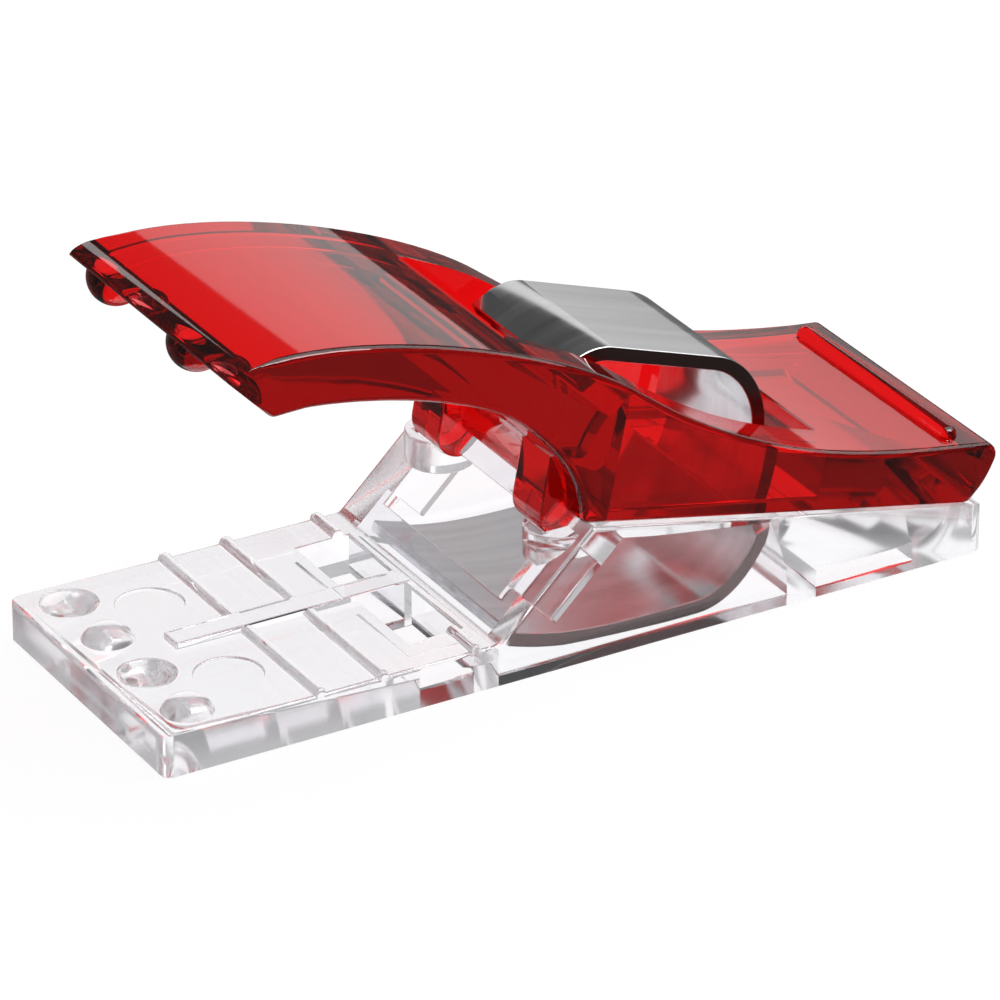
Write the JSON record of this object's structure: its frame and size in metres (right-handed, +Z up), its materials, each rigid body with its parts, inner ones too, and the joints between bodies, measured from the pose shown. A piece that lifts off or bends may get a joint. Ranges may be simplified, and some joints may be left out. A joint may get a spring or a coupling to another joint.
{
  "type": "spring clip",
  "caption": "Small plastic spring clip with a clear flat lower jaw, a tinted curved upper jaw and a bent steel leaf spring, squeezed open to grip fabric or a bag edge.",
  "frame": {"origin": "middle of the lower jaw's flat underside", "axes": "+X runs from the gripping noses to the thumb end, +Y across the clip, +Z up from the flat underside"},
  "size_m": [0.0275, 0.0094, 0.0119],
  "materials": {
    "clear_plastic": "clear polished injection moulding",
    "red_plastic": "translucent red polished injection moulding",
    "spring_steel": "satin rolled spring steel with sheared edges"
  },
  "bodies": {
    "lower_jaw": {"lower_jaw": "clear_plastic", "leaf_spring": "spring_steel"},
    "upper_jaw": {"upper_jaw": "red_plastic"}
  },
  "joints": [
    {"name": "jaw_hinge", "type": "hinge", "parent": "lower_jaw", "child": "upper_jaw", "pos_m": [-0.00013, 0, 0.00435], "axis": [0, -1, 0], "range_deg": [0, 46], "deforming": ["leaf_spring"]}
  ]
}
